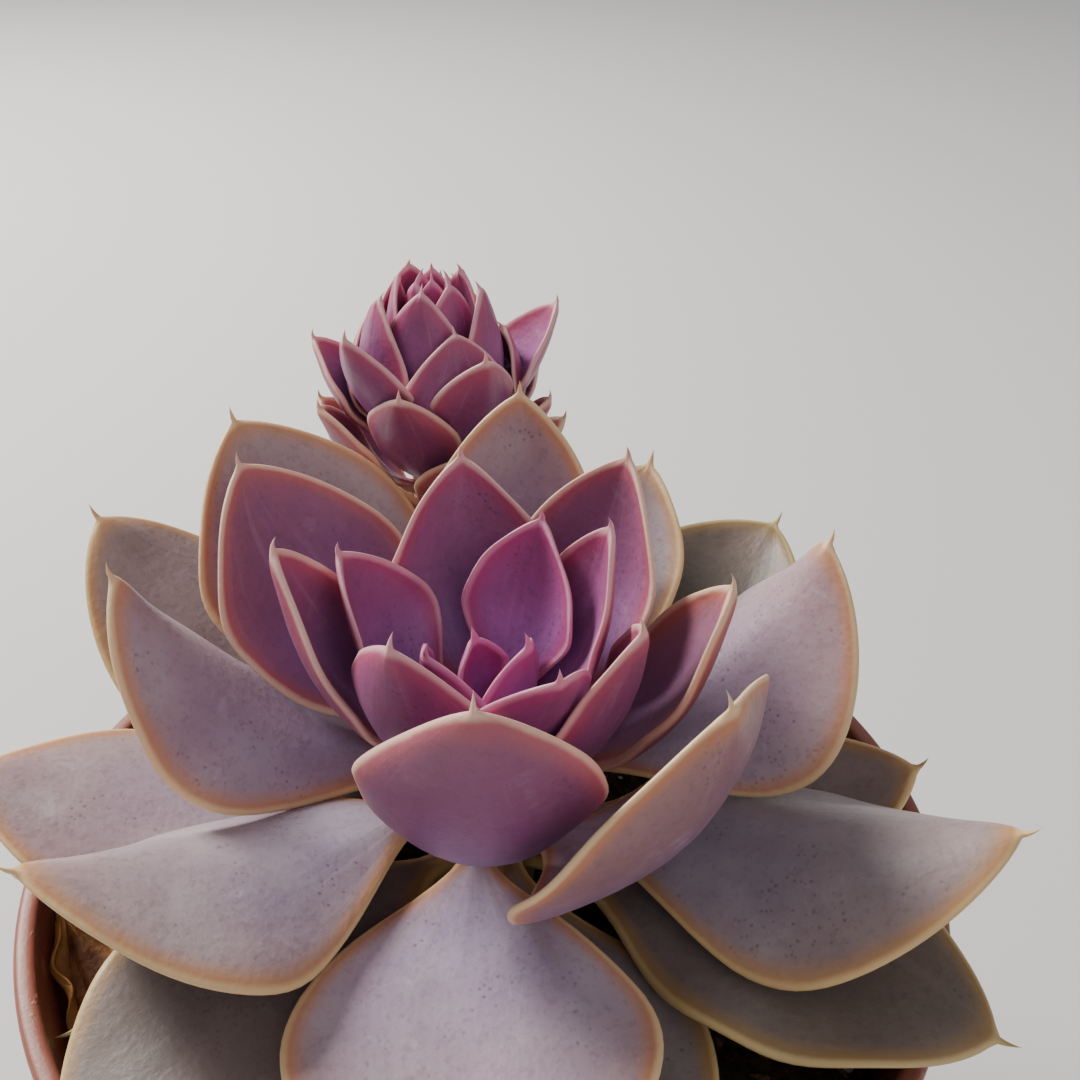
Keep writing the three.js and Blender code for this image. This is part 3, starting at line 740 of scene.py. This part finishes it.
def scale_sheet(index):
    """The middle sheet of one scale: a trough of radius bow that leans out, then in.

    Outer scales are wide and low, inner ones narrow and high; successive ones turn by
    the golden angle. Also returns the half thickness and the side that faces the axis."""
    inner = index / (SCALES - 1)
    size = np.array(crown_high) - np.array(crown_low)
    out = size[0] / 2 * (1.00 - 0.82 * inner**1.1)
    height = size[2] * (0.66 + 0.42 * np.sin(np.pi / 2 * min(1, inner * 2.2)))
    half_width = size[0] / 2 * (0.74 - 0.28 * inner)
    bearing = np.radians(FIRST_SCALE + GOLDEN_ANGLE * index)
    t = STATIONS[:, None]
    s = CHEBYSHEV[None, :]
    blade = np.sin(np.clip(t / 0.55, 0, 1) * np.pi / 2) ** 0.6
    fall = np.clip((t - 0.55) / 0.45, 0, 1)
    width = half_width * blade * (1 - fall**2.0) ** 0.75
    width = np.maximum(width, np.where(t < 0.5, NARROWEST_FOOT, 0))
    bow = max(out * 1.05, half_width * 0.72)
    spread = np.sin(np.pi / 2 * np.clip(t / 0.5, 0, 1)) - (0.22 + 0.3 * inner) * fall**1.5
    centre = 0.15 * out + 0.85 * out * spread - bow
    turn = bearing + s * width / bow
    axis_x, axis_y = head_axis[0], head_axis[1]
    x = axis_x + np.cos(bearing) * centre + np.cos(turn) * bow
    y = axis_y + np.sin(bearing) * centre + np.sin(turn) * bow
    z = crown_low[2] - SCALE_FOOT + (height + SCALE_FOOT) * t**1.05 + 0 * s
    sheet = np.stack([x, y, z], -1)
    half = (0.95 - 0.35 * inner) * MM * (1 - 0.35 * t) + 0 * s
    facing = -np.array([np.cos(bearing), np.sin(bearing), -0.2])
    return sheet, half, facing


crown_pieces = []
for index in range(SCALES):
    sheet, half, facing = scale_sheet(index)
    points, numbers = leaf_surface(
        sheet, half, facing, SCALE_SPIKE, SCALE_WAVE, SCALE_SEED + index)
    numbers["age"] = np.full(points.shape[:2], 0.22 - 0.18 * index / SCALES)
    numbers["tint"] = np.full(points.shape[:2], SCALE_TINT)
    scale = ring_mesh(f"crown_scale_{index + 1:02d}", points, numbers, leaf_material)
    face_outwards(scale)
    crown_pieces.append(scale)
with bpy.context.temp_override(active_object=crown_pieces[0], object=crown_pieces[0],
                               selected_editable_objects=crown_pieces):
    bpy.ops.object.join()
crown = crown_pieces[0]
crown.name = "head_crown_scales"
settle(crown, "head_leaf_skin", "head_crown")
print(SCALES, "scales,", len(crown.data.polygons), "faces")

# %% [markdown]
# ## The stems
#
# The main stem is old and corky, ringed with the scars of dropped leaves. The second
# head stands on a younger stem, green flushed with pink. Their paths come from the
# frame: level cuts through the CAD stem give a middle and a radius at each height.


# %% Stem paths
STEM_CUTS = 14
CUT_INSET = 0.3 * MM  # how far inside its ends a stem is cut


def level_cuts(node):
    """Middles (STEM_CUTS x 3) and radii of the node's level cross-sections."""
    low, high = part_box(node)
    middles, radii = [], []
    for z in np.linspace(low.z + CUT_INSET, high.z - CUT_INSET, STEM_CUTS):
        mesh = bmesh.new()
        mesh.from_mesh(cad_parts[node].data)
        everything = mesh.verts[:] + mesh.edges[:] + mesh.faces[:]
        cut = bmesh.ops.bisect_plane(mesh, geom=everything, plane_co=(0, 0, z),
                                     plane_no=(0, 0, 1))["geom_cut"]
        rim = np.array([v.co[:] for v in cut if isinstance(v, bmesh.types.BMVert)])
        mesh.free()
        middle = (rim.min(0) + rim.max(0)) / 2
        middles.append(middle)
        radii.append(np.linalg.norm(rim - middle, axis=1).max())
    return np.array(middles), np.array(radii)


# %% Stem surface
STEM_AROUND = 64
STEM_SEED = 7
SCAR_WIDTH = 0.75  # radians around the stem
SCAR_SPACING = 2.2
ROUGHNESS_SHARE = 0.12  # of a scar's height


def stem_surface(node, rows, scars, scar_height):
    """Rings around the cuts' middles, their radius swollen above each scar groove."""
    middles, radii = level_cuts(node)
    knots = np.linspace(0, 1, STEM_CUTS)
    at = np.linspace(0, 1, rows)
    middle = spline(knots, middles, at)
    radius = np.minimum(spline(knots, radii, at), radii.max())
    angle = np.arange(STEM_AROUND) * 2 * np.pi / STEM_AROUND
    rng = np.random.default_rng(STEM_SEED)
    swell = np.zeros((rows, STEM_AROUND))
    for index in range(scars):
        place = (index + 0.5) / scars
        bearing = np.radians(GOLDEN_ANGLE * index)
        away = (angle[None] - bearing + np.pi) % (2 * np.pi) - np.pi
        up = (at[:, None] - place) * scars / SCAR_SPACING
        swell += np.exp(
            -((away / SCAR_WIDTH) ** 2) - (up * 2.0) ** 2) * np.tanh(up * 4 + 0.6)
    rough = rng.normal(0, 1, (rows, STEM_AROUND))
    for _ in range(3):
        rough = (rough + np.roll(rough, 1, 1) + np.roll(rough, 1, 0)) / 2.2
    total = radius[:, None] + scar_height * swell + ROUGHNESS_SHARE * scar_height * rough
    ring = np.stack([np.cos(angle), np.sin(angle), 0 * angle], -1)
    points = middle[:, None] + total[..., None] * ring[None]
    return points, {"scar": swell, "along": at[:, None] + 0 * swell}


def stem_skin(name, bark, groove, flush, roughness):
    """Bark colour, darker grooves and a flush of another colour in long patches."""
    skin = Skin(name, Specular_IOR_Level=0.35)
    scar = skin.attribute("scar")
    long_grain = skin.noise(1.0, 4.0, 0.6, place=skin.stretched(900, 900, 160))
    patch = skin.noise(120.0, 3.0)
    fine = skin.noise(1500.0, 3.0, 0.65)
    colour = skin.blend(patch.step(0.35, 0.65), bark, flush)
    colour = skin.blend((0.2 - scar).step(0.0, 0.9) * 0.6, colour, groove)
    colour = skin.blend(long_grain.step(0.55, 0.75) * 0.45, colour, groove)
    height = long_grain + fine * 0.4
    return skin.finish(Base_Color=colour, Roughness=roughness + fine * 0.15,
                       Normal=skin.bump(height, 0.5, 0.0006))


# %% Both stems
old_bark = stem_skin(
    "old_bark", bark=(0.30, 0.17, 0.10), groove=(0.07, 0.035, 0.02),
    flush=(0.40, 0.26, 0.16), roughness=0.75)
young_bark = stem_skin(
    "young_bark", bark=(0.40, 0.16, 0.14), groove=(0.28, 0.07, 0.07),
    flush=(0.36, 0.30, 0.15), roughness=0.5)
STEMS = {  # rows of points, scars, scar height, slot and material
    "main_stem": (160, 34, 0.55 * MM, "old_stem", old_bark),
    "head_stem": (140, 12, 0.35 * MM, "young_stem", young_bark),
}
for node, (rows, scars, scar_height, slot, bark) in STEMS.items():
    points, numbers = stem_surface(node, rows, scars, scar_height)
    stem = ring_mesh(f"{node}_bark", points, numbers, bark)
    settle(stem, slot, node)
print("stems done")

# %% [markdown]
# ## The dead leaf
#
# One dropped leaf lies on the soil by the rim. It has dried to a brown, wrinkled scoop
# whose edge still shows amber where light comes through.

# %% Dead leaf
DRY_BROWN, DRY_TAN = (0.13, 0.050, 0.022), (0.26, 0.11, 0.045)
DRY_VEIN, DRY_EDGE = (0.06, 0.025, 0.015), (0.52, 0.25, 0.08)
SHRUNK = 0.8  # thickness left after drying
DRY_SPIKE, DRY_WAVE, DRY_WRINKLE = 1.2 * MM, 1.1 * MM, 0.28 * MM
DRY_SEED = 77
dry = Skin("dry_leaf", Specular_IOR_Level=0.3, Subsurface_Weight=0.15,
           Subsurface_Scale=0.002)
dry_margin = dry.attribute("margin_mm")
dry_veins = dry.noise(1.0, 4.0, 0.6, place=dry.stretched(380, 380, 900))
dry_patch = dry.noise(170.0, 3.0)
dry_colour = dry.blend(dry_patch.step(0.35, 0.65), DRY_BROWN, DRY_TAN)
dry_colour = dry.blend(dry_veins.step(0.5, 0.7) * 0.5, dry_colour, DRY_VEIN)
dry_colour = dry.blend(dry_margin.step(2.2, 0.5) * 0.8, dry_colour, DRY_EDGE)
dry_material = dry.finish(Base_Color=dry_colour, Roughness=0.62 + dry_patch * 0.2,
                          Normal=dry.bump(dry_veins + dry_patch, 0.6, 0.0008))
sheet, half, facing = read_leaf("withered_leaf", rosette_axis)
points, numbers = leaf_surface(
    sheet, half * SHRUNK, facing, DRY_SPIKE, DRY_WAVE, DRY_SEED, DRY_WRINKLE)
dead_leaf = ring_mesh("dead_leaf", points, numbers, dry_material)
settle(dead_leaf, "dead_leaf", "withered_leaf")

# %% [markdown]
# ## The pot
#
# A thin moulded nursery pot in terracotta brown: a tapering wall, a thicker band under
# the rim, a rounded lip and a floor with drain holes. Its outline is turned around the
# upright axis from one closed profile; a mould leaves a faint ripple and the reprocessed
# plastic has paler streaks. Dust and dried splashes dull it, most of all near the foot.


# %% Pot profile helpers
def rounded(corners, radii, steps=5):
    """A closed profile whose corners are rounded with quadratic curves."""
    corners = np.asarray(corners, float)
    out = []
    for k, (corner, radius) in enumerate(zip(corners, radii)):
        before, after = corners[k - 1], corners[(k + 1) % len(corners)]
        to_before = (before - corner) / np.linalg.norm(before - corner)
        to_after = (after - corner) / np.linalg.norm(after - corner)
        w = np.linspace(0, 1, steps)[:, None]
        start, end = corner + to_before * radius, corner + to_after * radius
        out.append((1 - w) ** 2 * start + 2 * w * (1 - w) * corner + w**2 * end)
    return np.concatenate(out)


def turned_mesh(name, profile, sides, material):
    """A closed lathe of a profile (radius, height) that starts and ends on the axis."""
    angle = np.arange(sides) * 2 * np.pi / sides
    ring = np.stack([np.cos(angle), np.sin(angle)], -1)
    points = np.concatenate([
        profile[:, None, :1] * ring[None], np.broadcast_to(
            profile[:, None, 1:], (len(profile), sides, 1))], axis=2)
    return ring_mesh(name, points, {}, material)


# %% Pot plastic
def pot_plastic(name):
    """Brown plastic with paler reprocessed streaks, dust low down and fine scratches."""
    skin = Skin(name, Specular_IOR_Level=0.45, Subsurface_Weight=0.05,
                Subsurface_Scale=0.002)
    height = skin.node("ShaderNodeSeparateXYZ", values={"Vector": skin.place}, output="Z")
    streak = skin.noise(1.0, 4.0, 0.55, place=skin.stretched(45, 45, 160))
    cloud = skin.noise(60.0, 4.0, 0.6)
    grit = skin.noise(1800.0, 3.0, 0.7)
    scratch = skin.noise(1.0, 2.0, 0.5, place=skin.stretched(140, 140, 2600))
    splash = skin.noise(420.0, 3.0, 0.6).step(0.60, 0.70)
    colour = skin.blend(streak.step(0.3, 0.7), (0.25, 0.072, 0.046), (0.31, 0.098, 0.064))
    low_down = height.step(0.035, 0.0)
    dust = cloud.step(0.45, 0.75) * 0.14 + low_down * 0.18 + splash * 0.22
    colour = skin.blend(dust, colour, (0.50, 0.36, 0.28))
    colour = skin.blend(scratch.step(0.66, 0.72) * 0.25, colour, (0.58, 0.36, 0.30))
    bumps = grit * 0.4 + scratch * 0.3 + streak * 0.4 + splash
    return skin.finish(Base_Color=colour, Roughness=0.38 + dust * 0.5 + grit * 0.08,
                       Normal=skin.bump(bumps, 0.25, 0.0004))


# %% Pot
FOOT, WALL, FLOOR_THICK = 42 * MM, 1.3 * MM, 1.6 * MM
BAND, BAND_STEP, LIP = 13 * MM, 1.6 * MM, 2.2 * MM
POT_SIDES = 160
pot_low, pot_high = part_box("pot")
pot_height = pot_high.z - pot_low.z
rim = (pot_high.x - pot_low.x) / 2
wall_top = rim - LIP
under_band = wall_top - BAND_STEP + 0.6 * MM
corners = [  # from the foot up the outside, over the rim and down the inside
    (FOOT, 0),
    (under_band, pot_height - BAND),
    (wall_top + 0.5 * MM, pot_height - BAND + 0.8 * MM),
    (wall_top + 0.9 * MM, pot_height - 2 * LIP),
    (rim, pot_height - 1.6 * LIP),
    (rim, pot_height),
    (rim - 1.15 * LIP, pot_height),
    (under_band - WALL, pot_height - BAND - 3 * MM),
    (FOOT - WALL, FLOOR_THICK),
]
corner_radii = np.array([1.6, 0.5, 0.6, 0.5, 0.6, 1.0, 0.9, 2.0, 1.2]) * MM
profile = rounded(corners, corner_radii)
floor_steps = np.linspace(FOOT * 0.95, 2 * MM, 8)
underside = np.stack([floor_steps[::-1], 0 * floor_steps], -1)
inside = np.stack([floor_steps, 0 * floor_steps + FLOOR_THICK], -1)
profile = np.concatenate([underside, profile, inside])
pot = turned_mesh("pot_shell", profile, POT_SIDES, pot_plastic("pot_plastic"))

# %% Drain holes
HOLES, HOLE_RADIUS, HOLE_CIRCLE = 6, 4 * MM, 30 * MM
DRILL_LENGTH = 20 * MM
SHARP_ANGLE = 35  # degrees; flatter edges are shaded smooth
for index in range(HOLES):
    turn = 2 * math.pi * index / HOLES
    place = (HOLE_CIRCLE * math.cos(turn), HOLE_CIRCLE * math.sin(turn), 0)
    bpy.ops.mesh.primitive_cylinder_add(
        vertices=32, radius=HOLE_RADIUS, depth=DRILL_LENGTH, location=place)
    drill = bpy.context.object
    cut = pot.modifiers.new("drain_hole", "BOOLEAN")
    cut.operation, cut.solver, cut.object = "DIFFERENCE", "EXACT", drill
    whole = bpy.data.meshes.new_from_object(pot.evaluated_get(
        bpy.context.evaluated_depsgraph_get()))
    pot.modifiers.clear()
    pot.data = whole
    bpy.data.objects.remove(drill, do_unlink=True)
pot.data.name = "pot_shell"
pot.data.set_sharp_from_angle(angle=math.radians(SHARP_ANGLE))
settle(pot, "pot_plastic", "pot")
print("pot has", len(pot.data.polygons), "faces")

# %% [markdown]
# ## The soil
#
# Peaty potting soil: a crumbly dark ground, with chips of bark, fibres and pale grit
# scattered on it. The ground is a turned surface with noise in its height; the crumbs are
# small rough pebbles, all in one mesh, with the colour of each kept as an attribute.

# %% Soil ground
DOME = 3 * MM  # how much higher the soil is in the middle
OCTAVES = 6
HILL_MM = 0.42
SOIL_SIDES, SOIL_ROWS = 200, 90
soil_low, soil_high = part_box("soil")
soil_radius = (soil_high.x - soil_low.x) / 2
soil_top = soil_high.z - DOME


def hills(x, y):
    """Crumbly height in metres: six octaves of sines, each with its own heading."""
    total = 0 * x
    for octave in range(OCTAVES):
        size = 210.0 * 1.75**octave
        heading = 2.4 * octave + 0.5
        a = x * math.cos(heading) + y * math.sin(heading)
        b = y * math.cos(heading) - x * math.sin(heading)
        waves = np.sin(a * size + 2.0 * np.sin(b * size * 0.6 + octave))
        total = total + waves * 0.62**octave
    return total * HILL_MM * MM


def dome(reach):
    """Height of the soil's dome at a distance from the axis: a parabola."""
    return DOME * (1 - (reach / soil_radius) ** 2)


angle = np.arange(SOIL_SIDES) * 2 * np.pi / SOIL_SIDES
reach = np.linspace(1.0, 0.02, SOIL_ROWS) * soil_radius
x, y = reach[:, None] * np.cos(angle), reach[:, None] * np.sin(angle)
from_wall = np.clip((soil_radius - reach) / (2 * MM), 0, 1)
z = soil_top + dome(reach)[:, None] + hills(x, y) * from_wall[:, None]
top = np.stack([x, y, z], -1)
side_radius = np.array([0.3, 0.985, 1.0]) * (FOOT - 2 * MM)
side_height = soil_low.z + np.array([0.2, 0.2, 1.5]) * MM
side = np.stack([side_radius[:, None] * np.cos(angle), side_radius[:, None] * np.sin(angle),
                 side_height[:, None] + 0 * angle[None]], -1)
ground_points = np.concatenate([side, top])


# %% Soil skin
def soil_skin(name):
    """Dark crumbly earth; the attribute shade runs from peat over bark to pale grit."""
    skin = Skin(name, Specular_IOR_Level=0.25)
    shade = skin.attribute("shade")
    rough = skin.noise(700.0, 5.0, 0.7)
    fine = skin.noise(2600.0, 3.0, 0.7)
    earth = skin.blend(rough.step(0.35, 0.7), (0.022, 0.013, 0.009), (0.085, 0.050, 0.032))
    bark = skin.blend(fine.step(0.3, 0.7), (0.11, 0.055, 0.030), (0.24, 0.13, 0.075))
    grit = skin.blend(fine.step(0.3, 0.7), (0.42, 0.38, 0.33), (0.62, 0.58, 0.52))
    colour = skin.blend(shade.step(0.45, 0.55), earth, bark)
    colour = skin.blend(shade.step(0.88, 0.92), colour, grit)
    return skin.finish(Base_Color=colour, Roughness=0.85 + fine * 0.12,
                       Normal=skin.bump(rough + fine * 0.5, 0.8, 0.001))


soil_material = soil_skin("potting_soil")
ground = ring_mesh("soil_ground", ground_points,
                   {"shade": np.zeros(ground_points.shape[:2])}, soil_material)
settle(ground, "potting_soil", "soil")

# %% Crumbs
CRUMBS = 1500
CRUMB_SEED = 12
CRUMB_RADIUS = 1.25
CRUMB_SQUASH = [1.9, 1.0, 0.6]
rng = np.random.default_rng(CRUMB_SEED)
pebble = bmesh.new()
bmesh.ops.create_icosphere(pebble, subdivisions=1, radius=1.0)
shape = np.array([v.co[:] for v in pebble.verts])
shape_faces = np.array([[v.index for v in f.verts] for f in pebble.faces])
pebble.free()
reach = np.sqrt(rng.uniform(0.02, 1, CRUMBS)) * (soil_radius - 1.5 * MM)
turn = rng.uniform(0, 2 * np.pi, CRUMBS)
x, y = reach * np.cos(turn), reach * np.sin(turn)
size = rng.uniform(0.35, 1.0, CRUMBS) ** 1.6 * CRUMB_RADIUS * MM
stretch = rng.uniform(0.5, 1.0, (CRUMBS, 3)) * CRUMB_SQUASH
spin = rng.uniform(0, 2 * np.pi, CRUMBS)
local = shape[None] * stretch[:, None] * (1 + rng.normal(0, 0.12, (CRUMBS, len(shape), 1)))
local = local * size[:, None, None]
turned_x = local[..., 0] * np.cos(spin)[:, None] - local[..., 1] * np.sin(spin)[:, None]
turned_y = local[..., 0] * np.sin(spin)[:, None] + local[..., 1] * np.cos(spin)[:, None]
z = soil_top + dome(reach) + hills(x, y) + 0.15 * size
crumb_points = np.stack([turned_x + x[:, None], turned_y + y[:, None],
                         local[..., 2] + z[:, None]], -1).reshape(-1, 3)
offsets = (np.arange(CRUMBS) * len(shape))[:, None, None]
crumb_faces = (shape_faces[None] + offsets).reshape(-1, 3)
mesh = bpy.data.meshes.new("soil_crumbs")
mesh.from_pydata(crumb_points.tolist(), [], crumb_faces.tolist())
layer = mesh.attributes.new("shade", "FLOAT", "POINT")
shades = np.repeat(rng.uniform(0, 1, CRUMBS), len(shape))
layer.data.foreach_set("value", shades.astype(np.float32))
mesh.materials.append(soil_material)
crumbs = bpy.data.objects.new("soil_crumbs", mesh)
scene.collection.objects.link(crumbs)
settle(crumbs, "potting_soil")
print("soil and", CRUMBS, "crumbs")

# %% [markdown]
# ## The floor
#
# A plain pale floor, so wide that its far edge is out of sight.

# %% Floor
FLOOR_SIZE, FLOOR_DROP = 12.0, 0.2 * MM
bpy.ops.mesh.primitive_plane_add(size=FLOOR_SIZE, location=(0, 0, -FLOOR_DROP))
floor = bpy.context.object
floor.name = "floor"
cloth = Skin("pale_floor", Roughness=0.9)
floor.data.materials.append(cloth.finish(Base_Color=(0.66, 0.66, 0.65)))
